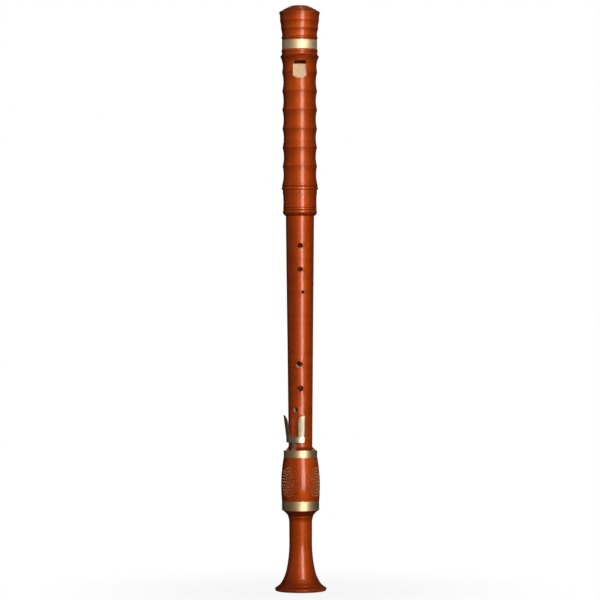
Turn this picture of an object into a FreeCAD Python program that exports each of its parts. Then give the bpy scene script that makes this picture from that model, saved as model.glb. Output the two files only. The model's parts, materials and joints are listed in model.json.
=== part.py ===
import FreeCAD, Part
import math
import os
from FreeCAD import Vector

# Bass recorder in f: cap, head, middle and foot joints with a covered two-lever key.
# Millimetres. +Z runs up the bore, the origin is the centre of the foot's base,
# and the window and finger holes face -Y. Angles are counted from -Y towards +X.

# Heights of the joints
foot_height = 133.0
fontanelle_height = 98.0
middle_visible_length = 383.2
head_visible_length = 267.5
cap_height = 78.0

# Clearances
seat_gap = 0.3
sliding_gap = 0.05
socket_end_gap = 2.0
slot_side_gap = 0.9

# Bores
head_bore_r = 16.5
middle_bore_top_r = 16.0
middle_bore_low_r = 12.3
foot_bore_r = 12.0
foot_bell_r = 22.0
foot_bell_depth = 34.0
foot_bell_hollow = 1.2

# Tenons and their cork bands
cork_thickness = 0.4
cork_margin = 6.0
head_tenon_r = 20.0
head_tenon_length = 55.0
foot_tenon_r = 15.4
foot_tenon_length = 32.0
cap_tenon_r = 22.6
cap_tenon_length = 40.0

# Cap
cap_foot_r = 29.0
cap_neck_r = 28.7
cap_rim_r = 33.4
cap_rim_land = 1.0
cap_bead_gap = 2.0
cap_bead_width = 4.0
cap_bead_height = 1.0
flute_count = 3
flute_depth = 0.7
flute_swell = 0.3
dome_height = 11.6
dome_swell = 0.3
dome_ring_count = 4
dome_ring_step = 0.6
dome_ring_bulge = 0.5
cap_button_r = 13.0
cap_button_rise = 0.6
cap_button_swell = 0.15
cap_button_flat_r = 4.0
cap_chamber_r = 20.0
cap_chamber_height = 24.0
cap_chamber_slope = 8.0
blow_hole_r = 4.0
blow_hole_above_block = 8.0

# Brass rings
ring_thickness = 1.2
cap_ring_r = 28.8
cap_ring_above_seam = 5.6
cap_ring_width = 14.8
upper_ring_r = 27.5
upper_ring_width = 11.6
lower_ring_r = 30.6
lower_ring_width = 15.0
ring_sunk = 0.1

# Turned outside of the head: depths below the cap's seam, then heights above the head's foot
head_shoulder_r = 31.9
head_shoulder_drop = 6.3
head_shoulder_hollow = 0.9
window_band_r = 27.6
window_band_drop = 23.0
window_band_hollow = 1.0
wave_count = 6
wave_pitch = 30.8
wave_top_drop = 32.0
crest_top_r = 28.5
crest_low_r = 27.9
valley_depth = 1.8
crest_bead_width = 2.4
crest_bead_height = 0.35
big_ridge_r = 30.1
big_ridge_height = 45.4
big_ridge_width = 6.4
big_ridge_swell = 0.9
ridge_bead_height = 2.0
ridge_groove_depth = 1.0
ridge_groove_width = 2.2
head_skirt_r = 27.5
head_skirt_height = 14.3
head_skirt_hollow = 0.7
skirt_groove_depth = 0.8
skirt_groove_width = 1.2
skirt_groove_pitch = 3.5
head_foot_bead_width = 5.8
head_foot_bead_height = 0.9
head_foot_r = 23.4
head_foot_chamfer = 4.4
head_foot_swell = 0.7

# Window and windway
windway_width = 20.0
windway_height = 1.6
windway_roof = 16.8
window_width = 21.6
cut_up = 5.6
window_drop = 13.4
ramp_length = 23.9
labium_thickness = 0.5
undercut_length = 18.0
undercut_depth = 3.6

# Middle joint
middle_top_r = 23.2
middle_waist_r = 21.2
middle_low_r = 19.45
flare_height = 6.0
flare_r = 27.0
flare_rim = 0.4
flare_hollow = 1.3
covered_r = 18.8
spigot_height = 3.0

# Finger holes: height above the collar, angle, diameter, upward slant inwards
finger_holes = (
    (334.7, 1.0, 8.4, 0.0),
    (295.9, 1.0, 8.1, 0.0),
    (258.5, 14.0, 5.7, 0.0),
    (146.7, -4.0, 10.2, 24.0),
    (102.6, 0.0, 9.8, 6.0),
    (66.3, -23.0, 7.4, 0.0),
)
thumb_hole_rise = 353.7
thumb_hole_d = 7.6
tone_hole_rise = 21.0
tone_hole_r = 5.0

# Fontanelle with four drilled rosettes
fontanelle_bore_r = 24.8
fontanelle_belly_r = 31.8
fontanelle_belly_rise = 40.0
fontanelle_wall = 4.6
fontanelle_land = 13.0
fontanelle_slope = 8.0
foot_spigot_height = 4.0
rosette_count = 4
rosette_first_angle = 54.5
rosette_rise = 47.0
rosette_half_width = 20.6
rosette_half_height = 22.8
rosette_ring_holes = (28, 22, 16, 10, 4)
rosette_hole_d = 1.7
rosette_hole_sides = 4

# Foot: the bell passes the neck, the waist and the spread down to the lip
foot_collar_r = 29.4
foot_collar_rim = 0.8
foot_collar_chamfer = 10.2
foot_collar_hollow = 0.85
foot_bead_width = 1.8
foot_bead_height = 0.4
foot_throat_r = 20.2
foot_neck_top_r = 18.8
foot_neck_drop = 19.5
foot_neck_hollow = 0.3
foot_neck_r = 18.65
foot_neck_z = 80.0
foot_waist_r = 23.5
foot_waist_z = 34.6
foot_spread_r = 31.5
foot_spread_z = 14.9
foot_rim_r = 34.6
foot_rim_z = 11.3
foot_rim_width = 1.1
foot_rim_height = 0.35
foot_lip_hollow = 0.3
foot_lip_r = 42.0
foot_lip_height = 6.2
foot_lip_step = 0.7
foot_lip_round = 1.0
foot_base_r = 38.0

# Key
key_angle = -28.5
flat_r = 16.8
pivot_r = 20.6
touch_pivot_drop = 16.0
touch_arm = 22.0
flap_short_arm = 9.5
pad_lift = 2.8
pad_r = 7.5
pad_side_gap = 1.0
pad_thickness = 2.0
cup_thickness = 1.0
cup_margin = 0.4
lever_width = 6.0
lever_thickness = 1.6
lever_tip_r = 1.0
flap_root_thickness = 2.2
flap_end_thickness = 1.2
flap_overhang = 3.0
finger_length = 3.5
finger_thickness = 1.5
hub_r = 2.0
axle_r = 1.0
axle_gap = 0.04
axle_end = 0.4
saddle_thickness = 1.5
saddle_side_gap = 0.3
saddle_length = 8.0
lug_width = 3.1
screw_head_r = 1.3
screw_head_height = 0.8
screw_r = 0.7
screw_length = 3.6
shank_thickness = 1.8
slot_floor_rise = 0.2
touch_yoke_rise = 6.7
touch_yoke_height = 9.0
touch_inner_r = 22.8
touch_thickness = 1.6
touch_length = 45.0
touch_rise = 5.0
touch_half_angle = 42.0
touch_corner = 1.5
touch_notch_half_width = 8.0
touch_horn_half_width = 9.6
touch_horn_height = 14.5
touch_horn_shoulder = 2.6
touch_lap = 0.9
touch_lap_inset = 0.5
spring_thickness = 0.4
spring_width = 4.0
spring_root = 5.0
spring_flat_share = 0.46
spring_rivet_share = 0.22
spring_end_gap = 1.0
rivet_head_height = 0.5
felt_thickness = 0.8
felt_gap = 0.15
felt_half_length = 2.8
felt_inset = 0.3

# Strap eye at the back
strap_eye_rise = 188.7
strap_eye_hole_r = 4.5
strap_eye_wire = 2.4
strap_eye_collar_r = 4.2
strap_eye_collar_height = 1.2
strap_eye_thread_length = 3.5
strap_eye_root = 0.4

# Heights that follow
fontanelle_top = foot_height + fontanelle_height
collar_z = fontanelle_top + seat_gap
flare_top = collar_z + flare_height
head_z = collar_z + middle_visible_length
cap_z = head_z + head_visible_length
total_height = cap_z + cap_height
block_top = cap_z + cap_tenon_length
block_line = cap_z - window_drop
edge_z = block_line - cut_up
middle_top = head_z + head_tenon_length
middle_bottom = foot_height - foot_tenon_length
touch_pivot_z = fontanelle_top - touch_pivot_drop
lever_meeting_z = touch_pivot_z - touch_arm
flap_pivot_z = lever_meeting_z - flap_short_arm
tone_hole_z = foot_height + tone_hole_rise
touch_yoke_z = flare_top + touch_yoke_rise
strap_eye_z = collar_z + strap_eye_rise

# Radii that follow
head_socket_r = head_tenon_r + cork_thickness + 2 * sliding_gap
cap_socket_r = cap_tenon_r + cork_thickness + 2 * sliding_gap
foot_socket_r = foot_tenon_r + cork_thickness + 2 * sliding_gap
slot_floor_r = covered_r + slot_floor_rise
flap_seat_r = flat_r + pad_thickness + cup_thickness
shank_outer_r = pivot_r + shank_thickness
felt_inner_r = pivot_r + lever_tip_r + felt_gap
felt_outer_r = felt_inner_r + felt_thickness

# Key motion: the flap's opening gives the pad its lift, and the arms give the ratio
flap_long_arm = flap_pivot_z - tone_hole_z
flap_opening = math.degrees(math.asin(pad_lift / flap_long_arm))
lever_ratio = touch_arm / flap_short_arm
touch_travel = flap_opening / lever_ratio
ear_inside = lever_width / 2 + saddle_side_gap
ear_outside = ear_inside + saddle_thickness

UP = Vector(0, 0, 1)
ACROSS = Vector(1, 0, 0)
INWARD = Vector(0, 1, 0)
ORIGIN = Vector(0, 0, 0)


# Drawing helpers

class Outline:
    """An outline of radius and height, drawn piece by piece and turned about the bore."""

    def __init__(self, r, z):
        self.edges = []
        self.here = Vector(r, 0, z)
        self.start = self.here
        self.heading = UP

    def add(self, curve, there):
        edge = curve.toShape()
        self.edges.append(edge)
        self.heading = edge.tangentAt(edge.LastParameter)
        self.here = there
        return self

    def line(self, r, z):
        there = Vector(r, 0, z)
        return self.add(Part.LineSegment(self.here, there), there)

    def bow(self, r, z, bulge):
        """An arc that stands out from its chord by the bulge, or is hollow where that is negative."""
        there = Vector(r, 0, z)
        chord = there - self.here
        side = Vector(chord.z, 0, -chord.x).normalize()
        if (side.x, side.z) < (0, 0):
            side = -side
        middle = (self.here + there) * 0.5 + side * bulge
        return self.add(Part.Arc(self.here, middle, there), there)

    def flow(self, r, z):
        """An arc that leaves the last piece smoothly and ends at the given point."""
        there = Vector(r, 0, z)
        chord = there - self.here
        side = Vector(-self.heading.z, 0, self.heading.x)
        centre = self.here + side * (chord.dot(chord) / (2 * side.dot(chord)))
        radius = (centre - self.here).Length
        middle = centre + ((self.here + there) * 0.5 - centre).normalize() * radius
        return self.add(Part.Arc(self.here, middle, there), there)

    def groove(self, depth, width):
        """A small V cut downwards from here, back out to the same radius."""
        r, z = self.here.x, self.here.z
        return self.line(r - depth, z - width / 2).line(r, z - width)

    def face(self):
        if not self.here.isEqual(self.start, 1e-6):
            self.line(self.start.x, self.start.z)
        return Part.Face(Part.Wire(self.edges))

    def turn(self):
        return self.face().revolve(ORIGIN, UP, 360)


def tube(outer_r, inner_r, z_low, z_high):
    body = Part.makeCylinder(outer_r, z_high - z_low, Vector(0, 0, z_low))
    return body.cut(Part.makeCylinder(inner_r, z_high - z_low, Vector(0, 0, z_low)))


def taper(r_low, r_high, z_low, z_high):
    return Outline(0, z_low).line(r_low, z_low).line(r_high, z_high).line(0, z_high).turn()


def box(x_low, x_high, y_low, y_high, z_low, z_high):
    return Part.makeBox(x_high - x_low, y_high - y_low, z_high - z_low, Vector(x_low, y_low, z_low))


def plate(points, width):
    """A side outline of (radius, height) at the front, drawn out evenly across the key."""
    corners = [Vector(-width / 2, -r, z) for r, z in points]
    wire = Part.makePolygon(corners + corners[:1])
    return Part.Face(wire).extrude(ACROSS * width)


def cross_pin(r, at_r, at_z, half_length):
    return Part.makeCylinder(r, 2 * half_length, Vector(-half_length, -at_r, at_z), ACROSS)


def front_pin(r, x, z, outer_r, inner_r):
    """A pin or drill square to the flat, from the outer radius in to the inner one."""
    return Part.makeCylinder(r, outer_r - inner_r, Vector(x, -outer_r, z), INWARD)


def around(shape, angle):
    turned = shape.copy()
    turned.rotate(ORIGIN, UP, angle)
    return turned


def on_key_side(shape):
    return around(shape, key_angle)


def radial_hole(r, z, angle, slant, outer_r, inner_r):
    """A drill from outside the wall towards the axis, rising inwards by the slant."""
    rise = math.tan(math.radians(slant))
    start = Vector(0, -outer_r, z - (outer_r - inner_r) * rise)
    end = Vector(0, -inner_r, z)
    drill = Part.makeCylinder(r, (end - start).Length, start, end - start)
    return around(drill, angle)


def opened(shape):
    """The flap swung about its axle from the closed seat to its resting place."""
    swung = shape.copy()
    swung.rotate(Vector(0, -pivot_r, flap_pivot_z), ACROSS, -flap_opening)
    return swung


# Cap

def cap_shell():
    ring_low = cap_z + cap_ring_above_seam
    ring_high = ring_low + cap_ring_width
    seat_r = cap_ring_r - ring_thickness
    rim_z = total_height - dome_height
    flute_low = ring_high + cap_bead_gap + cap_bead_width
    flute_high = rim_z - cap_rim_land
    wall = Outline(cap_socket_r, cap_z).line(cap_foot_r, cap_z)
    wall.bow(cap_neck_r, ring_low, cap_bead_height)
    wall.line(seat_r, ring_low).line(seat_r, ring_high).line(cap_neck_r, ring_high)
    wall.line(cap_neck_r, ring_high + cap_bead_gap)
    wall.bow(cap_neck_r, flute_low, cap_bead_height)
    for number in range(1, flute_count + 1):
        share = number / flute_count
        swell = share * (1 + flute_swell * (1 - share))
        ridge_r = cap_neck_r + (cap_rim_r - cap_neck_r) * swell
        ridge_z = flute_low + (flute_high - flute_low) * share
        wall.bow(ridge_r, ridge_z, -flute_depth)
    wall.line(cap_rim_r, rim_z)
    for number in range(1, dome_ring_count + 1):
        share = number / dome_ring_count
        ring_r = cap_rim_r + (cap_button_r - cap_rim_r) * share
        ring_z = rim_z + (dome_height - cap_button_rise) * share * (1 + dome_swell * (1 - share))
        wall.bow(ring_r, ring_z - dome_ring_step, dome_ring_bulge)
        wall.line(ring_r, ring_z)
    chamber_low = block_top + socket_end_gap
    ceiling = block_top + cap_chamber_height
    wall.bow(cap_button_flat_r, total_height, cap_button_swell).line(0, total_height)
    wall.line(0, ceiling).line(cap_chamber_r, ceiling - cap_chamber_slope)
    wall.line(cap_chamber_r, chamber_low).line(cap_socket_r, chamber_low)
    hole_z = block_top + blow_hole_above_block
    blow_hole = Part.makeCylinder(
        blow_hole_r, cap_rim_r, Vector(0, cap_chamber_r / 2, hole_z), INWARD)
    return wall.turn().cut(blow_hole)


def cap_ring():
    low = cap_z + cap_ring_above_seam
    return tube(cap_ring_r, cap_ring_r - ring_thickness, low, low + cap_ring_width)


def cork_band(tenon_r, low, high):
    inner_r = tenon_r + sliding_gap
    return tube(inner_r + cork_thickness, inner_r, low + cork_margin, high - cork_margin)


# Head joint

def head_outside():
    """The turned outside, from the tenon's shoulder down the waves to the chamfered foot."""
    shoulder_z = cap_z - head_shoulder_drop
    wall = Outline(0, block_top).line(cap_tenon_r, block_top).line(cap_tenon_r, cap_z)
    wall.line(cap_foot_r, cap_z)
    wall.bow(head_shoulder_r, shoulder_z, -head_shoulder_hollow)
    wall.bow(window_band_r, cap_z - window_band_drop, -window_band_hollow)
    half_bead = crest_bead_width / 2
    for number in range(wave_count):
        share = number / (wave_count - 1)
        crest_r = crest_top_r + (crest_low_r - crest_top_r) * share
        crest_z = cap_z - wave_top_drop - wave_pitch * number
        if number > 0:
            wall.bow(crest_r, crest_z + half_bead, -valley_depth)
        else:
            wall.line(crest_r, crest_z + half_bead)
        wall.bow(crest_r, crest_z - half_bead, crest_bead_height)
    ridge_top = head_z + big_ridge_height + big_ridge_width / 2
    ridge_edge_r = big_ridge_r - big_ridge_swell
    wall.bow(ridge_edge_r, ridge_top + ridge_bead_height, -valley_depth)
    wall.line(ridge_edge_r, ridge_top + ridge_bead_height / 2)
    wall.line(ridge_edge_r - ridge_groove_depth / 2, ridge_top)
    wall.bow(ridge_edge_r, ridge_top - big_ridge_width, big_ridge_swell)
    wall.line(ridge_edge_r - ridge_groove_depth, ridge_top - big_ridge_width)
    wall.line(ridge_edge_r - ridge_groove_depth, ridge_top - big_ridge_width - ridge_groove_width)
    skirt_z = head_z + head_skirt_height
    wall.bow(head_skirt_r, skirt_z, -head_skirt_hollow)
    wall.groove(skirt_groove_depth, skirt_groove_width)
    wall.line(head_skirt_r, skirt_z - skirt_groove_pitch)
    bead_top = head_z + head_foot_chamfer + head_foot_bead_width
    wall.line(head_skirt_r - skirt_groove_depth, bead_top)
    wall.bow(head_skirt_r, bead_top - head_foot_bead_width, head_foot_bead_height)
    wall.bow(head_foot_r, head_z, head_foot_swell)
    return wall.line(0, head_z).turn()


def windway_prism(y_outer, y_inner):
    half = windway_width / 2
    return box(-half, half, y_outer, y_inner, block_line, block_top)


def side_prism(points, width):
    """An outline of (y, z) drawn out evenly across the window."""
    corners = [Vector(-width / 2, y, z) for y, z in points]
    return Part.Face(Part.makePolygon(corners + corners[:1])).extrude(ACROSS * width)


def window_cut():
    """The window's slot through the wall, the ramp down to the surface and the undercut."""
    half = window_width / 2
    reach = head_shoulder_r + cap_tenon_r - head_tenon_r
    slot_inner = windway_height * 2 - windway_roof
    opening = box(-half, half, -reach, slot_inner, edge_z, block_line)
    edge_r = head_bore_r + labium_thickness
    ramp_fall = ramp_length * (reach - edge_r) / (window_band_r - labium_thickness - edge_r)
    ramp = side_prism([
        (-edge_r, edge_z),
        (-reach, edge_z - ramp_fall),
        (-reach, block_line),
        (-edge_r, block_line),
    ], window_width)
    undercut = side_prism([
        (-head_bore_r, edge_z),
        (undercut_depth - head_bore_r, edge_z - undercut_length),
        (undercut_depth * 2 - head_bore_r, edge_z),
    ], windway_width)
    return opening.fuse([ramp, undercut])


def head_joint():
    socket_top = middle_top + socket_end_gap
    bore = Part.makeCylinder(head_bore_r, block_top - head_z, Vector(0, 0, head_z))
    socket = Part.makeCylinder(head_socket_r, socket_top - head_z, Vector(0, 0, head_z))
    windway = windway_prism(-windway_roof, 0)
    return head_outside().cut(bore.fuse([socket, windway, window_cut()]))


def block():
    height = block_top - block_line
    plug = Part.makeCylinder(head_bore_r, height, Vector(0, 0, block_line))
    floor_y = windway_height - windway_roof
    tongue = windway_prism(floor_y, 0)
    way = windway_prism(-windway_roof, floor_y)
    return plug.cut(way).fuse(tongue).removeSplitter()


# Middle joint

def middle_outside():
    spigot_r = fontanelle_bore_r - seat_gap
    wall = Outline(0, middle_bottom).line(foot_tenon_r, middle_bottom)
    wall.line(foot_tenon_r, foot_height).line(covered_r, foot_height)
    wall.line(covered_r, collar_z - spigot_height).line(spigot_r, collar_z - spigot_height)
    wall.line(spigot_r, collar_z).line(flare_r, collar_z).line(flare_r, collar_z + flare_rim)
    wall.bow(middle_low_r, flare_top, -flare_hollow)
    wall.line(middle_waist_r, (flare_top + head_z) / 2).line(middle_top_r, head_z)
    wall.line(head_tenon_r, head_z).line(head_tenon_r, middle_top).line(0, middle_top)
    return wall.turn()


def middle_joint():
    bore = taper(middle_bore_low_r, middle_bore_top_r, middle_bottom, middle_top)
    cuts = [bore]
    reach = flare_r
    inner = middle_bore_low_r / 2
    for rise, angle, diameter, slant in finger_holes:
        cuts.append(radial_hole(diameter / 2, collar_z + rise, angle, slant, reach, inner))
    thumb_hole_z = collar_z + thumb_hole_rise
    cuts.append(radial_hole(thumb_hole_d / 2, thumb_hole_z, 180, 0, reach, inner))
    cuts.append(radial_hole(tone_hole_r, tone_hole_z, key_angle, 0, reach, inner))
    flat_low = tone_hole_z - pad_r - pad_side_gap
    flat_high = touch_pivot_z + saddle_length
    cuts.append(on_key_side(box(-reach, reach, -reach, -flat_r, flat_low, flat_high)))
    slot_half = lever_width / 2 + slot_side_gap
    slot = box(-slot_half, slot_half, -reach, -slot_floor_r, flat_high, flare_top + seat_gap)
    cuts.append(on_key_side(slot))
    return middle_outside().cut(cuts).cut(screw_shanks())


# Foot joint

def foot_joint():
    chamfer_low = foot_height - foot_collar_chamfer
    spigot_top = foot_height + foot_spigot_height
    socket_low = middle_bottom - socket_end_gap
    rim_r = covered_r + seat_gap
    wall = Outline(foot_bell_r, 0).bow(foot_bore_r, foot_bell_depth, -foot_bell_hollow)
    wall.line(foot_bore_r, socket_low).line(foot_socket_r, socket_low)
    wall.line(foot_socket_r, foot_height).line(rim_r, foot_height).line(rim_r, spigot_top)
    wall.line(fontanelle_bore_r, spigot_top).line(fontanelle_bore_r, foot_height)
    wall.line(foot_collar_r, foot_height).line(foot_collar_r, foot_height - foot_collar_rim)
    wall.bow(foot_throat_r, chamfer_low, -foot_collar_hollow)
    wall.bow(foot_throat_r, chamfer_low - foot_bead_width, foot_bead_height)
    wall.bow(foot_neck_top_r, foot_height - foot_neck_drop, -foot_neck_hollow)
    wall.line(foot_neck_r, foot_neck_z).flow(foot_waist_r, foot_waist_z)
    wall.flow(foot_spread_r, foot_spread_z).flow(foot_rim_r, foot_rim_z)
    wall.bow(foot_rim_r + foot_rim_width, foot_rim_z - foot_rim_width, foot_rim_height)
    wall.bow(foot_lip_r - foot_lip_step, foot_lip_height, -foot_lip_hollow)
    wall.line(foot_lip_r, foot_lip_height - foot_lip_step)
    wall.line(foot_lip_r, foot_lip_height / 2).bow(foot_base_r, 0, foot_lip_round)
    return wall.turn()


# Fontanelle

def rosette_drill(z, angle):
    """One many-sided drill with a round one's area, straight through the wall to the axis."""
    step = 2 * math.pi / rosette_hole_sides
    corner_r = rosette_hole_d / 2 * math.sqrt(step / math.sin(step))
    corners = []
    for number in range(rosette_hole_sides + 1):
        across = corner_r * math.cos(step * number)
        up = corner_r * math.sin(step * number)
        corners.append(Vector(across, -fontanelle_belly_r - fontanelle_wall, z + up))
    drill = Part.Face(Part.makePolygon(corners)).extrude(INWARD * fontanelle_wall * 3)
    return around(drill, angle)


def rosette(angle):
    drills = []
    outermost = rosette_ring_holes[0]
    for holes in rosette_ring_holes:
        scale = holes / outermost
        for number in range(holes):
            turn = 2 * math.pi * number / holes
            across = rosette_half_width * scale * math.cos(turn)
            up = rosette_half_height * scale * math.sin(turn)
            side = math.degrees(across / fontanelle_belly_r)
            drills.append(rosette_drill(foot_height + rosette_rise + up, angle + side))
    return drills


def fontanelle():
    lower_seat_r = lower_ring_r - ring_thickness
    upper_seat_r = upper_ring_r - ring_thickness
    lower_seat = foot_height + lower_ring_width
    upper_seat = fontanelle_top - upper_ring_width
    belly_z = foot_height + fontanelle_belly_rise
    hollow_r = fontanelle_belly_r - fontanelle_wall
    hollow_low = foot_height + fontanelle_land
    hollow_high = fontanelle_top - fontanelle_land
    wall = Outline(fontanelle_bore_r, foot_height).line(lower_seat_r, foot_height)
    wall.line(lower_seat_r, lower_seat).line(lower_ring_r + ring_sunk, lower_seat)
    belly = Part.Arc(wall.here, Vector(fontanelle_belly_r, 0, belly_z),
                     Vector(upper_ring_r + ring_sunk, 0, upper_seat))
    wall.add(belly, belly.EndPoint)
    wall.line(upper_seat_r, upper_seat).line(upper_seat_r, fontanelle_top)
    wall.line(fontanelle_bore_r, fontanelle_top).line(fontanelle_bore_r, hollow_high)
    wall.line(hollow_r, hollow_high - fontanelle_slope).line(hollow_r, hollow_low + fontanelle_slope)
    wall.line(fontanelle_bore_r, hollow_low)
    drills = []
    for number in range(rosette_count):
        drills += rosette(rosette_first_angle + 360 / rosette_count * number)
    return wall.turn().cut(drills)


def fontanelle_ring(outer_r, low, width):
    return tube(outer_r, outer_r - ring_thickness, low, low + width)


# Key

def saddle(pivot_z):
    """A bent brass bracket: base and two lugs on the flat, two ears with the axle's hole."""
    base_r = flat_r + saddle_thickness
    reach = ear_outside + lug_width
    low = pivot_z - saddle_length / 2
    bracket = box(-reach, reach, -base_r, -flat_r, low, low + saddle_length)
    holes = [cross_pin(axle_r, pivot_r, pivot_z, reach)]
    for side in (-1, 1):
        near, far = sorted((side * ear_inside, side * ear_outside))
        ear = box(near, far, -pivot_r, -flat_r, pivot_z - hub_r, pivot_z + hub_r)
        crown = Part.makeCylinder(hub_r, saddle_thickness, Vector(near, -pivot_r, pivot_z), ACROSS)
        bracket = bracket.fuse([ear, crown])
        screw_x = side * (ear_outside + lug_width / 2)
        holes.append(front_pin(screw_r, screw_x, pivot_z, base_r, flat_r))
    return on_key_side(bracket.cut(holes).removeSplitter())


def screw_places():
    """Where each saddle screw stands: across the key, and its height."""
    screw_x = ear_outside + lug_width / 2
    return [(side * screw_x, z) for z in (touch_pivot_z, flap_pivot_z) for side in (-1, 1)]


def screw_shanks():
    head_seat = flat_r + saddle_thickness
    tip_r = flat_r - screw_length
    return [on_key_side(front_pin(screw_r, x, z, head_seat, tip_r)) for x, z in screw_places()]


def saddle_screws():
    screws = []
    head_seat = flat_r + saddle_thickness
    for (x, z), shank in zip(screw_places(), screw_shanks()):
        head = front_pin(screw_head_r, x, z, head_seat + screw_head_height, head_seat)
        screws.append(on_key_side(head).fuse(shank))
    return Part.makeCompound(screws)


def axle(pivot_z):
    return on_key_side(cross_pin(axle_r, pivot_r, pivot_z, ear_outside + axle_end))


def hub(pivot_z):
    return cross_pin(hub_r, pivot_r, pivot_z, lever_width / 2)


def axle_hole(pivot_z):
    return cross_pin(axle_r + axle_gap, pivot_r, pivot_z, lever_width)


def touch_plate_shell():
    """The curved brass sheet that the swallowtail is cut from."""
    bend = touch_yoke_z + touch_yoke_height
    high = touch_yoke_z + touch_length
    inner = touch_inner_r
    outer = touch_inner_r + touch_thickness
    sheet = Outline(inner, touch_yoke_z).line(outer, touch_yoke_z).line(outer, bend)
    sheet.line(outer + touch_rise, high).line(inner + touch_rise, high).line(inner, bend)
    return sheet.turn()


def key_touch():
    """Half of the swallowtail's front outline, mirrored and cut out of the curved sheet."""
    high = touch_yoke_z + touch_length
    spread = math.sin(math.radians(touch_half_angle))
    outer = touch_inner_r + touch_thickness
    low_x = outer * spread
    high_x = (outer + touch_rise) * spread
    corner_bulge = touch_corner * (1 - math.sqrt(0.5))
    half = Outline(0, touch_yoke_z).line(low_x, touch_yoke_z).line(high_x, high - touch_corner)
    half.bow(high_x - touch_corner, high, corner_bulge)
    half.bow(touch_horn_half_width, high - touch_horn_height, -touch_horn_shoulder)
    half.line(touch_notch_half_width, touch_yoke_z + touch_yoke_height)
    half.line(0, touch_yoke_z + touch_yoke_height)
    right = half.face().extrude(Vector(0, -foot_lip_r, 0))
    blank = right.fuse(right.mirror(ORIGIN, ACROSS))
    return on_key_side(touch_plate_shell().common(blank).removeSplitter())


def key_shank():
    """The stem: from the touch through the collar's slot to the axle, then the inner arm."""
    lap_z = touch_yoke_z + touch_yoke_height - touch_lap_inset
    stem = plate([
        (pivot_r, touch_pivot_z),
        (pivot_r, flare_top),
        (touch_inner_r - touch_lap, lap_z),
        (touch_inner_r + touch_thickness / 2, lap_z),
        (shank_outer_r, flare_top),
        (shank_outer_r, touch_pivot_z),
    ], lever_width)
    half = lever_thickness / 2
    arm = plate([
        (pivot_r - half, lever_meeting_z),
        (pivot_r - half, touch_pivot_z),
        (pivot_r + half, touch_pivot_z),
        (pivot_r + half, lever_meeting_z),
    ], lever_width)
    tip = cross_pin(lever_tip_r, pivot_r, lever_meeting_z, lever_width / 2)
    lever = stem.fuse([arm, tip, hub(touch_pivot_z)])
    rivet_hole = front_pin(screw_r, 0, touch_leaf()[1], shank_outer_r, pivot_r)
    lever = lever.cut([axle_hole(touch_pivot_z), rivet_hole, touch_plate_shell()])
    return on_key_side(lever.removeSplitter())


def leaf_heights(start, end):
    """Heights of a leaf spring's root, rivet, bend and free end."""
    rivet_z = start + (end - start) * spring_rivet_share
    bend = start + (end - start) * spring_flat_share
    return start, rivet_z, bend, end


def touch_leaf():
    return leaf_heights(touch_pivot_z + spring_root, flare_top - spring_end_gap)


def flap_leaf():
    return leaf_heights(flap_pivot_z - spring_root, tone_hole_z + pad_r + hub_r)


def touch_spring():
    """A leaf under the stem, riveted to it, with its free end on the floor of the slot."""
    start, rivet_z, bend, end = touch_leaf()
    floor = slot_floor_r + sliding_gap
    leaf = plate([
        (pivot_r, start),
        (pivot_r, bend),
        (floor + spring_thickness, end),
        (floor, end),
        (pivot_r - spring_thickness, bend),
        (pivot_r - spring_thickness, start),
    ], spring_width)
    hole = front_pin(screw_r, 0, rivet_z, pivot_r, pivot_r - spring_thickness)
    return on_key_side(leaf.cut(hole))


def rivet(z, outer_r, inner_r):
    shank = front_pin(screw_r, 0, z, outer_r, inner_r)
    return shank.fuse(front_pin(screw_head_r, 0, z, inner_r, inner_r - rivet_head_height))


def touch_spring_rivet():
    return on_key_side(rivet(touch_leaf()[1], shank_outer_r, pivot_r - spring_thickness))


def flap_lever():
    """The long arm is drawn closed and swung open, the short arm is drawn where it rests."""
    low = tone_hole_z - flap_overhang
    long_arm = plate([
        (flap_seat_r, low),
        (flap_seat_r, flap_pivot_z),
        (flap_seat_r + flap_root_thickness, flap_pivot_z),
        (flap_seat_r + flap_end_thickness, low),
    ], lever_width)
    hole = front_pin(screw_r, 0, flap_leaf()[1], shank_outer_r, flap_seat_r)
    face_low = lever_meeting_z - finger_length
    face_high = lever_meeting_z + finger_length
    short_arm = plate([
        (pivot_r - hub_r / 2, flap_pivot_z),
        (felt_outer_r, face_low),
        (felt_outer_r, face_high),
        (felt_outer_r + finger_thickness, face_high),
        (felt_outer_r + finger_thickness, face_low),
        (pivot_r + hub_r, flap_pivot_z),
    ], lever_width)
    lever = opened(long_arm.cut(hole)).fuse([short_arm, hub(flap_pivot_z)])
    return on_key_side(lever.cut(axle_hole(flap_pivot_z)).removeSplitter())


def flap_felt():
    low = lever_meeting_z - felt_half_length
    high = lever_meeting_z + felt_half_length
    half = lever_width / 2 - felt_inset
    return on_key_side(box(-half, half, -felt_outer_r, -felt_inner_r, low, high))


def pad_cup():
    disc = front_pin(pad_r + cup_margin, 0, tone_hole_z, flap_seat_r, flap_seat_r - cup_thickness)
    return on_key_side(opened(disc))


def key_pad():
    disc = front_pin(pad_r, 0, tone_hole_z, flat_r + pad_thickness, flat_r + sliding_gap)
    return on_key_side(opened(disc))


def swung(r, z):
    """Where a point of the closed flap stands once the flap has opened."""
    swing = math.radians(flap_opening)
    dr = r - pivot_r
    dz = z - flap_pivot_z
    out = pivot_r + dr * math.cos(swing) - dz * math.sin(swing)
    up = flap_pivot_z + dz * math.cos(swing) + dr * math.sin(swing)
    return out, up


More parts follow.
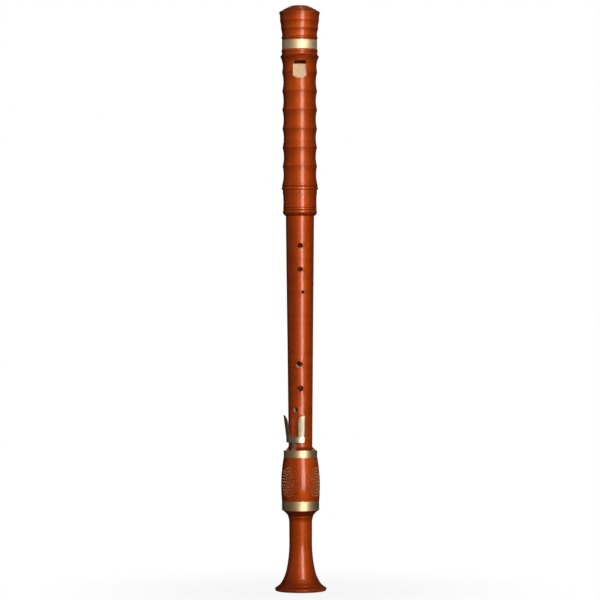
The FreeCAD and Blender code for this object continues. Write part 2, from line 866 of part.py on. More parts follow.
def flap_spring():
    """A leaf under the long arm, riveted to it, with its free end on the wood."""
    start, rivet_z, bend, end = flap_leaf()
    floor = flat_r + sliding_gap
    leaf = plate([
        swung(flap_seat_r, start),
        swung(flap_seat_r, bend),
        (floor + spring_thickness, end),
        (floor, end),
        swung(flap_seat_r - spring_thickness, bend),
        swung(flap_seat_r - spring_thickness, start),
    ], spring_width)
    hole = front_pin(screw_r, 0, rivet_z, flap_seat_r, flap_seat_r - spring_thickness)
    return on_key_side(leaf.cut(opened(hole)))


def flap_spring_rivet():
    rivet_z = flap_leaf()[1]
    outer_r = flap_seat_r + flap_end_thickness
    return on_key_side(opened(rivet(rivet_z, outer_r, flap_seat_r - spring_thickness)))


# Strap eye

def strap_eye():
    """A flat ring on a threaded stem with a collar, screwed into the back of the wood."""
    waist_z = (flare_top + head_z) / 2
    share = (strap_eye_z - flare_top) / (waist_z - flare_top)
    wood_r = middle_low_r + (middle_waist_r - middle_low_r) * share
    outer_r = strap_eye_hole_r + strap_eye_wire
    ring_y = wood_r + strap_eye_collar_height + outer_r - strap_eye_root
    half = strap_eye_wire / 2
    centre = Vector(-half, ring_y, strap_eye_z)
    ring = Part.makeCylinder(outer_r, strap_eye_wire, centre, ACROSS)
    hole = Part.makeCylinder(strap_eye_hole_r, strap_eye_wire, centre, ACROSS)
    root = Vector(0, wood_r - strap_eye_thread_length, strap_eye_z)
    stem = Part.makeCylinder(half, ring_y - outer_r + half - root.y, root, INWARD)
    collar_start = Vector(0, wood_r - strap_eye_root, strap_eye_z)
    collar = Part.makeCylinder(
        strap_eye_collar_r, strap_eye_collar_height + strap_eye_root, collar_start, INWARD)
    return ring.fuse([stem, collar]).cut(hole).removeSplitter()


def all_parts():
    parts = {
        "cap_shell": cap_shell(),
        "cap_ring": cap_ring(),
        "cap_tenon_cork": cork_band(cap_tenon_r, cap_z, block_top),
        "head_joint": head_joint(),
        "block": block(),
        "head_tenon_cork": cork_band(head_tenon_r, head_z, middle_top),
        "foot_tenon_cork": cork_band(foot_tenon_r, middle_bottom, foot_height),
        "foot_joint": foot_joint(),
        "fontanelle": fontanelle(),
        "fontanelle_upper_ring": fontanelle_ring(
            upper_ring_r, fontanelle_top - upper_ring_width, upper_ring_width),
        "fontanelle_lower_ring": fontanelle_ring(lower_ring_r, foot_height, lower_ring_width),
        "touch_saddle": saddle(touch_pivot_z),
        "flap_saddle": saddle(flap_pivot_z),
        "saddle_screws": saddle_screws(),
        "touch_axle": axle(touch_pivot_z),
        "flap_axle": axle(flap_pivot_z),
        "key_touch": key_touch(),
        "key_shank": key_shank(),
        "touch_spring": touch_spring(),
        "touch_spring_rivet": touch_spring_rivet(),
        "flap_lever": flap_lever(),
        "flap_felt": flap_felt(),
        "pad_cup": pad_cup(),
        "key_pad": key_pad(),
        "flap_spring": flap_spring(),
        "flap_spring_rivet": flap_spring_rivet(),
        "strap_eye": strap_eye(),
    }
    parts["middle_joint"] = middle_joint().cut(parts["strap_eye"])
    return parts


os.makedirs("parts", exist_ok=True)
for name, shape in all_parts().items():
    shape.exportStep("parts/" + name + ".step")
print("touch travel", round(touch_travel, 3), "flap opening", round(flap_opening, 3),
      "ratio", round(lever_ratio, 4))
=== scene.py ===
import json
import math

import bmesh
import bpy
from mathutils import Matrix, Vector
from mathutils.geometry import delaunay_2d_cdt


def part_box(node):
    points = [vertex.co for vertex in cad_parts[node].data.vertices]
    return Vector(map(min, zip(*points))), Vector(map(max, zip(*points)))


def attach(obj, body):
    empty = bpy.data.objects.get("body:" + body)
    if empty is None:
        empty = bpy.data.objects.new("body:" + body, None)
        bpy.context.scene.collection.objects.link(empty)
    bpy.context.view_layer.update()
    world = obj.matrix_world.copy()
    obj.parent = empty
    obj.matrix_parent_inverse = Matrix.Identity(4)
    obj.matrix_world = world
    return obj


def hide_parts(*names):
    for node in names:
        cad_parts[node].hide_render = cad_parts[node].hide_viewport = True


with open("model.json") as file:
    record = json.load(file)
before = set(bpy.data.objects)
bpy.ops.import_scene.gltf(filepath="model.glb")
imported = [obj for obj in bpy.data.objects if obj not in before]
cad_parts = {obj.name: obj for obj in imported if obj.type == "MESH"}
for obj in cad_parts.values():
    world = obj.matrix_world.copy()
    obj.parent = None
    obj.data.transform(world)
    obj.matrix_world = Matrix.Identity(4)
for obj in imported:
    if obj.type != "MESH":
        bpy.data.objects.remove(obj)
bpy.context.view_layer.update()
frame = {"nodes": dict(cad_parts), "record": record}

# Lengths are in metres. Angles round the recorder start at the front and grow to the viewer's right.

FULL_TURN = 2 * math.pi
WHITE = (1.0, 1.0, 1.0)

# A lamp and a camera look down by themselves, and along the floor after this turn
LOOKING_LEVEL = math.radians(90)

# Photograph: scale on the recorder's axis, and where the camera stood
PIXELS = 600
METRES_PER_PIXEL = 0.001639
CAMERA_DISTANCE = 5.13
CAMERA_HEIGHT = 0.477
CAMERA_SIDE = -0.0002
CAMERA_ROLL = math.radians(0.127)
SENSOR_WIDTH = 36.0
CLIP_START = 0.05
CLIP_END = 50.0

# Heights from the frame
HEAD_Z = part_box("head_joint")[0].z
SEAM_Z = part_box("cap_shell")[0].z
COLLAR_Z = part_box("fontanelle_upper_ring")[1].z
FONTANELLE_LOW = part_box("fontanelle")[0].z


# Meshes and places

def around(angle, distance, height):
    """The point at that angle, in radians, and that distance from the axis."""
    return Vector((distance * math.sin(angle), -distance * math.cos(angle), height))


def mesh_object(name, points, faces, materials):
    mesh = bpy.data.meshes.new(name)
    mesh.from_pydata(points, [], faces)
    for material in materials:
        mesh.materials.append(material)
    obj = bpy.data.objects.new(name, mesh)
    bpy.context.scene.collection.objects.link(obj)
    return obj


# Shader helpers

# Where most values of a noise texture lie
NOISE_SPAN = (0.3, 0.7)

# Sockets of the mix node for colours
MIX_SHARE = 0
MIX_FIRST = 6
MIX_SECOND = 7
MIX_RESULT = 2


def map_range(nodes, links, source, span_in, span_out):
    """A node that maps one span of values to another, and its result."""
    node = nodes.new("ShaderNodeMapRange")
    for name, value in zip(("From Min", "From Max", "To Min", "To Max"), (*span_in, *span_out)):
        node.inputs[name].default_value = value
    links.new(source, node.inputs["Value"])
    return node, node.outputs["Result"]


class Shader:
    """A new node material with short calls for what the finishes below need."""

    def __init__(self, name):
        self.material = bpy.data.materials.new(name)
        self.material.use_nodes = True
        self.nodes = self.material.node_tree.nodes
        self.links = self.material.node_tree.links
        self.surface = self.nodes["Principled BSDF"]
        coordinates = self.nodes.new("ShaderNodeTexCoord")
        self.place = coordinates.outputs["Object"]
        self.normal = coordinates.outputs["Normal"]

    def link(self, source, target):
        self.links.new(source, target)

    def drive(self, name, source):
        """Feeds the surface's socket of that name."""
        self.link(source, self.surface.inputs[name])

    def set(self, **values):
        """Sets constants on the surface's own sockets."""
        for name, value in values.items():
            self.surface.inputs[name.replace("_", " ")].default_value = value

    def stretched(self, scale):
        mapping = self.nodes.new("ShaderNodeMapping")
        mapping.inputs["Scale"].default_value = scale
        self.link(self.place, mapping.inputs["Vector"])
        return mapping.outputs["Vector"]

    def noise(self, scale, detail=4.0, roughness=0.55, distortion=0.0):
        """Soft noise over the piece. The scale is in cells per metre along X, Y and Z."""
        node = self.nodes.new("ShaderNodeTexNoise")
        node.inputs["Scale"].default_value = 1.0
        node.inputs["Detail"].default_value = detail
        node.inputs["Roughness"].default_value = roughness
        node.inputs["Distortion"].default_value = distortion
        self.link(self.stretched(scale), node.inputs["Vector"])
        return node.outputs["Fac"]

    def facing_up(self):
        """The upward part of the surface's normal, from -1 to 1."""
        split = self.nodes.new("ShaderNodeSeparateXYZ")
        self.link(self.normal, split.inputs["Vector"])
        return split.outputs["Z"]

    def level(self, source, span_in, span_out):
        return map_range(self.nodes, self.links, source, span_in, span_out)[1]

    def ramp(self, source, stops):
        """Colours by the source's value. Each stop is a position and a colour."""
        node = self.nodes.new("ShaderNodeValToRGB")
        elements = node.color_ramp.elements
        while len(elements) < len(stops):
            elements.new(0.5)
        for element, (position, colour) in zip(elements, stops):
            element.position = position
            element.color = (*colour, 1.0)
        self.link(source, node.inputs["Fac"])
        return node.outputs["Color"]

    def multiplied(self, first, second, share):
        node = self.nodes.new("ShaderNodeMix")
        node.data_type = "RGBA"
        node.blend_type = "MULTIPLY"
        node.inputs[MIX_SHARE].default_value = share
        self.link(first, node.inputs[MIX_FIRST])
        self.link(second, node.inputs[MIX_SECOND])
        return node.outputs[MIX_RESULT]

    def bump(self, source, distance, strength):
        node = self.nodes.new("ShaderNodeBump")
        node.inputs["Distance"].default_value = distance
        node.inputs["Strength"].default_value = strength
        self.link(source, node.inputs["Height"])
        self.drive("Normal", node.outputs["Normal"])


# Finishes

# Cells per metre of the fine lines that the lathe, the file and the rolling mill leave in brass
TURNED_LINES = (30, 30, 2600)
FILED_LINES = (900, 900, 60)
ROLLED_LINES = (60, 60, 900)


def stained_wood():
    """Stained, oiled hardwood: fine upright streaks, broad bands and a faint cross figure.

    Shade is painted into the colour where the turned surface faces down or up, beside each ridge.
    The tinted layer under the clear coat is the glow of the stained fibres.
    """
    shader = Shader("stained_wood")
    streaks = shader.noise((420, 420, 9), detail=5.0, roughness=0.6)
    bands = shader.noise((46, 46, 2.2), detail=3.0, distortion=0.4)
    figure = shader.noise((18, 18, 95), detail=3.0)
    base = shader.ramp(bands, [
        (0.30, (0.230, 0.023, 0.0016)),
        (0.52, (0.360, 0.041, 0.0027)),
        (0.72, (0.480, 0.072, 0.0056)),
    ])
    pores = shader.ramp(streaks, [(0.34, (0.52, 0.42, 0.38)), (0.56, WHITE)])
    grained = shader.multiplied(base, pores, share=0.5)
    cross = shader.ramp(figure, [(0.36, (0.72, 0.62, 0.55)), (0.60, (1.08, 1.10, 1.10))])
    figured = shader.multiplied(grained, cross, share=0.5)
    # Painted shade: the colour is darkened where the surface faces down or up, standing in for how light
    # falls on the ridges
    tilt = shader.level(shader.facing_up(), span_in=(-0.5, 0.75), span_out=(0.0, 1.0))
    painted_tilt_shade = shader.ramp(tilt, [
        (0.08, (0.35, 0.25, 0.22)),
        (0.40, WHITE),
        (0.56, WHITE),
        (0.88, (0.48, 0.38, 0.34)),
    ])
    shader.drive("Base Color", shader.multiplied(figured, painted_tilt_shade, share=1.0))
    shader.drive("Roughness", shader.level(streaks, NOISE_SPAN, span_out=(0.68, 0.58)))
    shader.set(IOR=3.1, Specular_Tint=(1.0, 0.16, 0.015, 1.0))
    shader.set(Coat_Weight=1.0, Coat_Roughness=0.12, Coat_IOR=1.38)
    shader.bump(streaks, distance=0.00003, strength=0.5)
    return shader.material


def bare_wood():
    """Pale unstained wood on cut faces: the ramp, the walls of the holes and the tenons."""
    shader = Shader("bare_wood")
    streaks = shader.noise((500, 500, 14), detail=4.0)
    shader.drive("Base Color", shader.ramp(streaks, [(0.3, (0.80, 0.53, 0.31)), (0.7, (0.93, 0.68, 0.42))]))
    shader.set(Roughness=0.55)
    shader.bump(streaks, distance=0.00004, strength=0.6)
    return shader.material


def cedar():
    shader = Shader("cedar")
    streaks = shader.noise((700, 90, 10), detail=4.0)
    shader.drive("Base Color", shader.ramp(streaks, [(0.3, (0.50, 0.24, 0.11)), (0.7, (0.70, 0.42, 0.23))]))
    shader.set(Roughness=0.7)
    shader.bump(streaks, distance=0.00005, strength=1.0)
    return shader.material


def cork():
    shader = Shader("cork")
    grains = shader.noise((900, 900, 900), detail=3.0, roughness=0.7)
    shader.drive("Base Color", shader.ramp(grains, [
        (0.30, (0.20, 0.10, 0.045)),
        (0.48, (0.50, 0.31, 0.16)),
        (0.70, (0.66, 0.45, 0.26)),
    ]))
    shader.set(Roughness=0.8)
    shader.bump(grains, distance=0.00015, strength=1.0)
    return shader.material


def brass(name, pale, deep, roughness, lines):
    """Pale polished brass with a faint tarnish and fine lines."""
    shader = Shader(name)
    brushing = shader.noise(lines, detail=3.0, roughness=0.6)
    tarnish = shader.noise((60, 60, 60), detail=4.0)
    shader.drive("Base Color", shader.ramp(tarnish, [(0.35, deep), (0.62, pale)]))
    spread = (roughness * 0.9, roughness * 1.1)
    shader.drive("Roughness", shader.level(brushing, NOISE_SPAN, spread))
    shader.set(Metallic=1.0, Coat_Weight=0.8, Coat_Roughness=0.32)
    shader.bump(brushing, distance=0.000004, strength=0.4)
    return shader.material


def steel():
    shader = Shader("steel")
    lines = shader.noise((300, 300, 2500), detail=2.0)
    shader.drive("Base Color", shader.ramp(lines, [(0.3, (0.48, 0.48, 0.48)), (0.7, (0.62, 0.61, 0.60))]))
    shader.set(Metallic=1.0, Roughness=0.28)
    return shader.material


def soft(name, dark, pale, grain, depth):
    """Leather or felt: a matt surface with a fine nap."""
    shader = Shader(name)
    nap = shader.noise((grain, grain, grain), detail=5.0, roughness=0.65)
    shader.drive("Base Color", shader.ramp(nap, [(0.3, dark), (0.7, pale)]))
    shader.set(Roughness=0.85, Sheen_Weight=0.3)
    shader.bump(nap, depth, strength=1.0)
    return shader.material


def finishes():
    """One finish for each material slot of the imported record, and two for places within a slot."""
    return {
        "stained_wood": stained_wood(),
        "cedar": cedar(),
        "cork": cork(),
        "ring_brass": brass("ring_brass", pale=(0.90, 0.68, 0.38), deep=(0.80, 0.57, 0.29),
                            roughness=0.50, lines=TURNED_LINES),
        "key_brass": brass("key_brass", pale=(0.95, 0.83, 0.61), deep=(0.86, 0.71, 0.47),
                           roughness=0.38, lines=FILED_LINES),
        "spring_brass": brass("spring_brass", pale=(0.75, 0.55, 0.28), deep=(0.62, 0.42, 0.18),
                              roughness=0.34, lines=ROLLED_LINES),
        "steel": steel(),
        "pad_leather": soft("pad_leather", dark=(0.55, 0.46, 0.35), pale=(0.80, 0.72, 0.60),
                            grain=1400, depth=0.00005),
        "felt": soft("felt", dark=(0.20, 0.03, 0.02), pale=(0.36, 0.07, 0.05),
                     grain=2600, depth=0.0001),
        "bare_wood": bare_wood(),
        "satin_brass": brass("satin_brass", pale=(0.96, 0.78, 0.51), deep=(0.88, 0.69, 0.41),
                             roughness=0.64, lines=TURNED_LINES),
    }


# Where stained wood has been cut through to the bare wood

CUT_NODES = ("cap_shell", "head_joint", "middle_joint", "foot_joint")

# A node whose finish differs a little from the rest of its slot
FINER = {"cap_ring": "satin_brass"}

# Material places of a stained piece
STAINED, BARE = range(2)

# Parts of a face's normal: a drilled wall faces neither outward nor up, and a bore faces inward
WALL_OUTWARD = 0.55
WALL_UPWARD = 0.9
BORE_OUTWARD = -0.2
RAMP_UPWARD = 0.3
SIDE_ACROSS = 0.9

# Places of the cuts
TENON_R = 0.0202
SHOULDER_GAP = 0.0001
HOLES_LOW = COLLAR_Z + 0.008
WINDOW_FRONT = -0.014
WINDOW_HALF_WIDTH = 0.01081
WINDOW_LOW = SEAM_Z - 0.0435
WINDOW_HIGH = SEAM_Z - 0.0133
BLOW_HOLE_BACK = 0.015
BLOW_HOLE_R = 0.0042
ON_AXIS = 1e-6


def is_bare(node, centre, normal):
    """True for the tenons, the window's ramp and sides, and the walls of the drilled holes."""
    r = math.hypot(centre.x, centre.y)
    outward = (normal.x * centre.x + normal.y * centre.y) / max(r, ON_AXIS)
    wall = abs(outward) < WALL_OUTWARD and abs(normal.z) < WALL_UPWARD
    if node == "middle_joint":
        # The tenon under the fontanelle keeps the dark stain, as painted shade seen through the holes
        in_head_or_below_fontanelle = centre.z > HEAD_Z + SHOULDER_GAP or centre.z < FONTANELLE_LOW
        tenon = r < TENON_R and in_head_or_below_fontanelle and outward > BORE_OUTWARD
        return tenon or (wall and centre.z > HOLES_LOW)
    if node == "head_joint":
        across_window = centre.y < WINDOW_FRONT and abs(centre.x) < WINDOW_HALF_WIDTH
        in_window = across_window and WINDOW_LOW < centre.z < WINDOW_HIGH
        ramp = in_window and normal.z > RAMP_UPWARD and normal.y < 0
        side = in_window and abs(normal.x) > SIDE_ACROSS
        return ramp or side or (centre.z > SEAM_Z + SHOULDER_GAP and outward > BORE_OUTWARD)
    if node == "cap_shell":
        return wall and centre.y > BLOW_HOLE_BACK and abs(centre.x) < BLOW_HOLE_R
    return False


def paint_frame(made):
    """Puts the finishes on the frame's own pieces."""
    for part in frame["record"]["subparts"]:
        name = part["node"]
        mesh = frame["nodes"][name].data
        mesh.materials.clear()
        mesh.materials.append(made[FINER.get(name, part["material_slot"])])
        if name not in CUT_NODES:
            continue
        mesh.materials.append(made["bare_wood"])
        for face in mesh.polygons:
            face.material_index = BARE if is_bare(name, face.center, face.normal) else STAINED


# Fontanelle: the turned barrel with round drilled holes, whose walls are bare wood near the rim and dark
# stain deeper in, which is painted shade

BARREL_COLUMNS = 120
BARREL_ROWS = 26
SHARP_ANGLE = math.radians(35)

# Holes: their walls are bare down to the edge's depth and keep the dark stain below it as painted shade, and
# grid points keep clear of them
HOLE_SIDES = 16
HOLE_R = 0.00106
HOLE_EDGE = 0.0011
HOLE_CLEARANCE = HOLE_R * 1.5
ROSETTE_RINGS = (28, 22, 16, 10, 4)
ROSETTE_ANGLES = (-125.5, -35.5, 54.5, 144.5)
ROSETTE_RISE = 0.047
ROSETTE_HALF_WIDTH = 0.0206
ROSETTE_HALF_HEIGHT = 0.0228

# Turned shape: rises are counted from the barrel's lower end
SEAM_ANGLE = math.radians(9.5)
BELLY_R = 0.0318
BELLY_RISE = 0.040
BAND_LOW_R = 0.0307
BAND_HIGH_R = 0.0276
LOW_SEAT_R = 0.0294
HIGH_SEAT_R = 0.0263
BARREL_BORE_R = 0.0248
HOLLOW_R = 0.0272
HOLLOW_LAND = 0.013
HOLLOW_SLOPE = 0.008

# Depths at which the flat layout of the band is wrapped round the axis
OUTSIDE, BETWEEN, INSIDE = range(3)

# Settings of the triangulation: the whole outline is filled, and points closer than this are one
WHOLE_HULL = 0
SAME_POINT = 1e-7


def barrel_curve(low, high):
    """The circle through the band's two ends and the belly: its centre's radius, height and size."""
    points = ((BAND_LOW_R, low), (BELLY_R, FONTANELLE_LOW + BELLY_RISE), (BAND_HIGH_R, high))
    (r1, z1), (r2, z2), (r3, z3) = points
    s1, s2, s3 = (r * r + z * z for r, z in points)
    span = 2 * (r1 * (z2 - z3) + r2 * (z3 - z1) + r3 * (z1 - z2))
    centre_r = (s1 * (z2 - z3) + s2 * (z3 - z1) + s3 * (z1 - z2)) / span
    centre_z = (s1 * (r3 - r2) + s2 * (r1 - r3) + s3 * (r2 - r1)) / span
    return centre_r, centre_z, math.hypot(r1 - centre_r, z1 - centre_z)


def rosette_holes():
    """Centres of all holes: the way round the belly from the seam, and the height."""
    centres = []
    for angle in ROSETTE_ANGLES:
        for holes in ROSETTE_RINGS:
            scale = holes / ROSETTE_RINGS[0]
            for number in range(holes):
                turn = FULL_TURN * number / holes
                side = ROSETTE_HALF_WIDTH * scale * math.cos(turn) / BELLY_R
                rise = ROSETTE_HALF_HEIGHT * scale * math.sin(turn)
                from_seam = (math.radians(angle) + side - SEAM_ANGLE) % FULL_TURN
                centres.append((from_seam * BELLY_R, FONTANELLE_LOW + ROSETTE_RISE + rise))
    return centres


def flat_band(holes, low, high):
    """The drilled band laid flat: its named points, their places and the edges of the holes."""
    names = []
    places = []
    for row in range(BARREL_ROWS + 1):
        z = low + (high - low) * row / BARREL_ROWS
        for column in range(BARREL_COLUMNS + 1):
            u = FULL_TURN * BELLY_R * column / BARREL_COLUMNS
            on_edge = row in (0, BARREL_ROWS) or column in (0, BARREL_COLUMNS)
            if on_edge or min(math.hypot(u - hu, z - hz) for hu, hz in holes) > HOLE_CLEARANCE:
                names.append(("grid", row, column % BARREL_COLUMNS))
                places.append((u, z))
    rims = []
    for number, (hu, hz) in enumerate(holes):
        first = len(places)
        for side in range(HOLE_SIDES):
            turn = FULL_TURN * side / HOLE_SIDES
            names.append(("hole", number, side))
            places.append((hu + HOLE_R * math.cos(turn), hz + HOLE_R * math.sin(turn)))
            rims.append((first + side, first + (side + 1) % HOLE_SIDES))
    return names, places, rims


def in_one_hole(triangle):
    """True for a triangle of named points that all lie on the rim of one hole."""
    return triangle[0][0] == "hole" and len({name[:2] for name in triangle}) == 1


def cut_to_triangles(names, places, rims):
    """The flat band as triangles of named points, with the holes left open."""
    corners = [Vector(place) for place in places]
    _, _, faces, sources, _, _ = delaunay_2d_cdt(corners, rims, [], WHOLE_HULL, SAME_POINT, True)
    triangles = [[names[sources[i][0]] for i in face] for face in faces]
    return [triangle for triangle in triangles if not in_one_hole(triangle)]


def shade_turned(mesh):
    """Faces all turned outward, and smooth shading except across sharp edges."""
    shape = bmesh.new()
    shape.from_mesh(mesh)
    bmesh.ops.recalc_face_normals(shape, faces=shape.faces)
    for face in shape.faces:
        face.smooth = True
    for edge in shape.edges:
        edge.smooth = edge.calc_face_angle(0.0) < SHARP_ANGLE
    shape.to_mesh(mesh)
    shape.free()


def fontanelle(made):
    """The barrel as one closed mesh: drilled band, ring seats and the hollow inside."""
    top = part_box("fontanelle")[1].z
    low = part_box("fontanelle_lower_ring")[1].z
    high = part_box("fontanelle_upper_ring")[0].z
    centre_r, centre_z, size = barrel_curve(low, high)
    holes = rosette_holes()
    names, places, rims = flat_band(holes, low, high)
    place_of = dict(zip(names, places))
    points = []
    index = {}

    def outer_r(z):
        return centre_r + math.sqrt(size * size - (z - centre_z) ** 2)

    def inner_r(z):
        depth = min(z - FONTANELLE_LOW, top - z) - HOLLOW_LAND
        return BARREL_BORE_R + (HOLLOW_R - BARREL_BORE_R) * min(max(depth / HOLLOW_SLOPE, 0), 1)

    def corner(name, depth):
        """The number of the named point at that depth, made when it is first asked for."""
        key = (name, depth)
        if key not in index:
            u, z = place_of[name]
            r = (outer_r(z), outer_r(z) - HOLE_EDGE, inner_r(z))[depth]
            angle = u / BELLY_R
            if name[0] == "hole":
                middle = holes[name[1]][0]
                angle = middle / BELLY_R + math.asin((u - middle) / r)
            index[key] = len(points)
            points.append(around(SEAM_ANGLE + angle, r, z))
        return index[key]

    faces = []
    for triangle in cut_to_triangles(names, places, rims):
        faces.append([corner(name, OUTSIDE) for name in triangle])
        faces.append([corner(name, INSIDE) for name in reversed(triangle)])
    bare = []
    for number in range(len(holes)):
        for side in range(HOLE_SIDES):
            one = ("hole", number, side)
            two = ("hole", number, (side + 1) % HOLE_SIDES)
            bare.append(len(faces))
            # Only the outer part of each wall is bare; the inner part keeps the dark stain, as painted shade
            # deep in the hole
            for upper, lower in ((OUTSIDE, BETWEEN), (BETWEEN, INSIDE)):
                faces.append([corner(one, upper), corner(two, upper), corner(two, lower), corner(one, lower)])

    def ring(r, z):
        first = len(points)
        for column in range(BARREL_COLUMNS):
            points.append(around(SEAM_ANGLE + FULL_TURN * column / BARREL_COLUMNS, r, z))
        return range(first, first + BARREL_COLUMNS)

    def band_edge(row, depth):
        return [corner(("grid", row, column), depth) for column in range(BARREL_COLUMNS)]

    # Each end: the seat under its brass ring, the end face and the plain bore
    ends = (
        (band_edge(0, OUTSIDE), ring(LOW_SEAT_R, low), ring(LOW_SEAT_R, FONTANELLE_LOW),
         ring(BARREL_BORE_R, FONTANELLE_LOW), band_edge(0, INSIDE)),
        (band_edge(BARREL_ROWS, OUTSIDE), ring(HIGH_SEAT_R, high), ring(HIGH_SEAT_R, top),
         ring(BARREL_BORE_R, top), band_edge(BARREL_ROWS, INSIDE)),
    )
    for end in ends:
        for one, two in zip(end, end[1:]):
            for i in range(BARREL_COLUMNS):
                j = (i + 1) % BARREL_COLUMNS
                faces.append([one[i], one[j], two[j], two[i]])

    obj = mesh_object("fontanelle_drilled", points, faces, (made["stained_wood"], made["bare_wood"]))
    for number in bare:
        obj.data.polygons[number].material_index = BARE
    shade_turned(obj.data)
    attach(obj, "foot")
    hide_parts("fontanelle")


# Stage

WORLD_LIGHT = 0.01

# Floor: a grey under the light, mixed with this much white where the camera sees it
FLOOR_SIZE = 16.0
FLOOR_GREY = (0.30, 0.30, 0.30)
FLOOR_ROUGHNESS = 0.9
SHADOW_SPAN = (0.05, 0.5)
WHITE_SPAN = (0.91, 1.0)

# Cards that only gloss sees: start and end angle in degrees, and radiance, where 1 is white
CARD_COLOUR = (1.0, 0.96, 0.90)
CARD_DISTANCE = 2.3
CARD_LOW = -0.01
CARD_HIGH = 2.3
CARD_STEP = 12
CARDS = (
    (-178.0, -112.0, 0.0),
    (-112.0, -12.0, 0.10),
    (-12.0, 8.0, 0.70),
    (8.0, 28.0, 5.0),
    (28.0, 44.0, 0.70),
    (44.0, 178.0, 0.03),
)

# Name, height and radiance of the cards that lie flat
FLAT_CARDS = (
    ("floor_card", 0.001, 0.02),
    ("ceiling_card", CARD_HIGH, 0.10),
)


def seen_directly(nodes, links):
    """1 for rays that the camera, gloss or glass sends, and 0 for the light on the object."""
    path = nodes.new("ShaderNodeLightPath")
    seen = path.outputs["Is Camera Ray"]
    for kind in ("Is Glossy Ray", "Is Transmission Ray"):
        either = nodes.new("ShaderNodeMath")
        either.operation = "MAXIMUM"
        links.new(seen, either.inputs[0])
        links.new(path.outputs[kind], either.inputs[1])
        seen = either.outputs[0]
    return seen


def white_world():
    """A world that is seen as white and lights the object only faintly."""
    world = bpy.data.worlds.new("studio")
    bpy.context.scene.world = world
    world.use_nodes = True
    nodes = world.node_tree.nodes
    links = world.node_tree.links
    nodes.clear()
    mix = nodes.new("ShaderNodeMixShader")
    out = nodes.new("ShaderNodeOutputWorld")
    links.new(seen_directly(nodes, links), mix.inputs["Fac"])
    for socket, strength in ((mix.inputs[1], WORLD_LIGHT), (mix.inputs[2], 1.0)):
        background = nodes.new("ShaderNodeBackground")
        background.inputs["Color"].default_value = (*WHITE, 1.0)
        background.inputs["Strength"].default_value = strength
        links.new(background.outputs[0], socket)
    links.new(mix.outputs[0], out.inputs["Surface"])


def stage_mesh(name, points, faces, material):
    obj = mesh_object(name, points, faces, (material,))
    return obj


def floor_material():
    """Pale near the object, where it takes the shadow, and plain white further out."""
    material = bpy.data.materials.new("floor")
    material.use_nodes = True
    nodes = material.node_tree.nodes
    links = material.node_tree.links
    surface = nodes["Principled BSDF"]
    surface.inputs["Base Color"].default_value = (*FLOOR_GREY, 1.0)
    surface.inputs["Roughness"].default_value = FLOOR_ROUGHNESS
    white = nodes.new("ShaderNodeEmission")
    white.inputs["Strength"].default_value = 1.0
    distance = nodes.new("ShaderNodeVectorMath")
    distance.operation = "LENGTH"
    links.new(nodes.new("ShaderNodeTexCoord").outputs["Object"], distance.inputs[0])
    node, whiteness = map_range(nodes, links, distance.outputs["Value"], SHADOW_SPAN, WHITE_SPAN)
    node.interpolation_type = "SMOOTHSTEP"
    share = nodes.new("ShaderNodeMath")
    share.operation = "MULTIPLY"
    links.new(seen_directly(nodes, links), share.inputs[0])
    links.new(whiteness, share.inputs[1])
    mix = nodes.new("ShaderNodeMixShader")
    links.new(share.outputs[0], mix.inputs["Fac"])
    links.new(surface.outputs[0], mix.inputs[1])
    links.new(white.outputs[0], mix.inputs[2])
    links.new(mix.outputs[0], nodes["Material Output"].inputs["Surface"])
    return material


def floor():
    half = FLOOR_SIZE / 2
    corners = [(-half, -half, 0), (half, -half, 0), (half, half, 0), (-half, half, 0)]
    stage_mesh("floor", corners, [(0, 1, 2, 3)], floor_material())


def card(name, points, faces, glow):
    """A card that only gloss sees, at this radiance."""
    material = bpy.data.materials.new(name)
    material.use_nodes = True
    surface = material.node_tree.nodes["Principled BSDF"]
    surface.inputs["Base Color"].default_value = (0.0, 0.0, 0.0, 1.0)
    surface.inputs["Specular IOR Level"].default_value = 0.0
    surface.inputs["Emission Color"].default_value = (*CARD_COLOUR, 1.0)
    surface.inputs["Emission Strength"].default_value = glow
    obj = stage_mesh(name, points, faces, material)
    obj.visible_camera = False
    obj.visible_diffuse = False
    obj.visible_shadow = False
    obj.visible_transmission = False


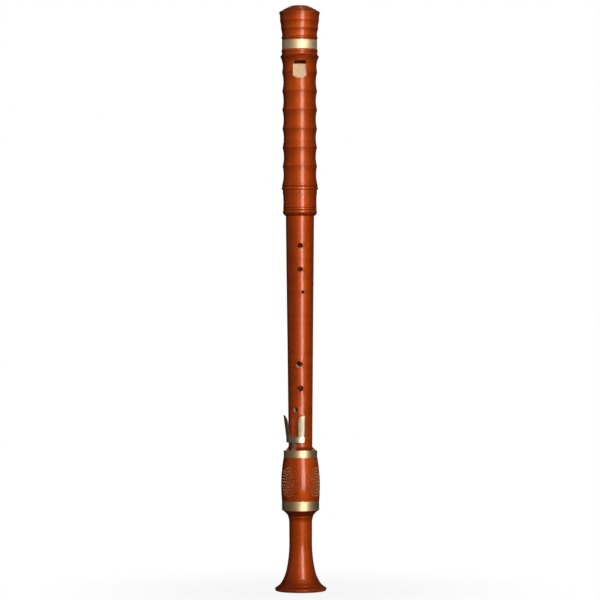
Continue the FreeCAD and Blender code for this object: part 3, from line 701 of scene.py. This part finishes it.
def studio_cards():
    """Curved cards round the object, which draw the dark edges of its gloss, and two flat ones."""
    for start, end, glow in CARDS:
        steps = max(1, round((end - start) / CARD_STEP))
        angles = [math.radians(start + (end - start) * i / steps) for i in range(steps + 1)]
        low = [around(angle, CARD_DISTANCE, CARD_LOW) for angle in angles]
        high = [around(angle, CARD_DISTANCE, CARD_HIGH) for angle in angles]
        faces = [(i, i + 1, steps + 2 + i, steps + 1 + i) for i in range(steps)]
        card(f"card_{round(start) + 180}", low + high, faces, glow)
    for name, height, glow in FLAT_CARDS:
        rim = [around(math.radians(angle), CARD_DISTANCE, height) for angle in range(0, 360, CARD_STEP)]
        card(name, rim, [tuple(range(len(rim)))], glow)


def strip_light(name, angle, distance, low, high, width, strength, in_gloss):
    """A tall soft light at that angle in degrees. The strength is its radiance, where 1 is white."""
    turn = math.radians(angle)
    data = bpy.data.lights.new(name, "AREA")
    data.shape = "RECTANGLE"
    data.size = width
    data.size_y = high - low
    data.energy = strength * math.pi * width * (high - low)
    obj = bpy.data.objects.new(name, data)
    obj.location = around(turn, distance, (low + high) / 2)
    obj.rotation_euler = (LOOKING_LEVEL, 0, turn)
    bpy.context.scene.collection.objects.link(obj)
    obj.visible_camera = False
    obj.visible_glossy = in_gloss


def lights():
    """A strip and a softer lamp in front, and the same behind."""
    strip_light("key_strip", angle=18, distance=1.75, low=0.0, high=1.7,
                width=0.60, strength=4.5, in_gloss=True)
    strip_light("soft_key", angle=-2, distance=3.2, low=0.2, high=2.0,
                width=0.7, strength=10.0, in_gloss=False)
    strip_light("back_strip", angle=180, distance=2.0, low=0.0, high=1.8,
                width=0.26, strength=5.0, in_gloss=True)
    strip_light("back_fill", angle=180, distance=3.6, low=0.3, high=2.3,
                width=1.0, strength=9.0, in_gloss=False)


def camera():
    half_view = PIXELS * METRES_PER_PIXEL / 2
    data = bpy.data.cameras.new("camera")
    data.sensor_width = SENSOR_WIDTH
    data.lens = SENSOR_WIDTH / 2 * CAMERA_DISTANCE / half_view
    data.clip_start = CLIP_START
    data.clip_end = CLIP_END
    obj = bpy.data.objects.new("camera", data)
    obj.location = (CAMERA_SIDE, -CAMERA_DISTANCE, CAMERA_HEIGHT)
    obj.rotation_euler = (LOOKING_LEVEL, CAMERA_ROLL, 0)
    bpy.context.scene.collection.objects.link(obj)
    bpy.context.scene.camera = obj


made = finishes()
paint_frame(made)
fontanelle(made)
white_world()
floor()
studio_cards()
lights()
camera()
bpy.context.scene.view_settings.view_transform = "Standard"
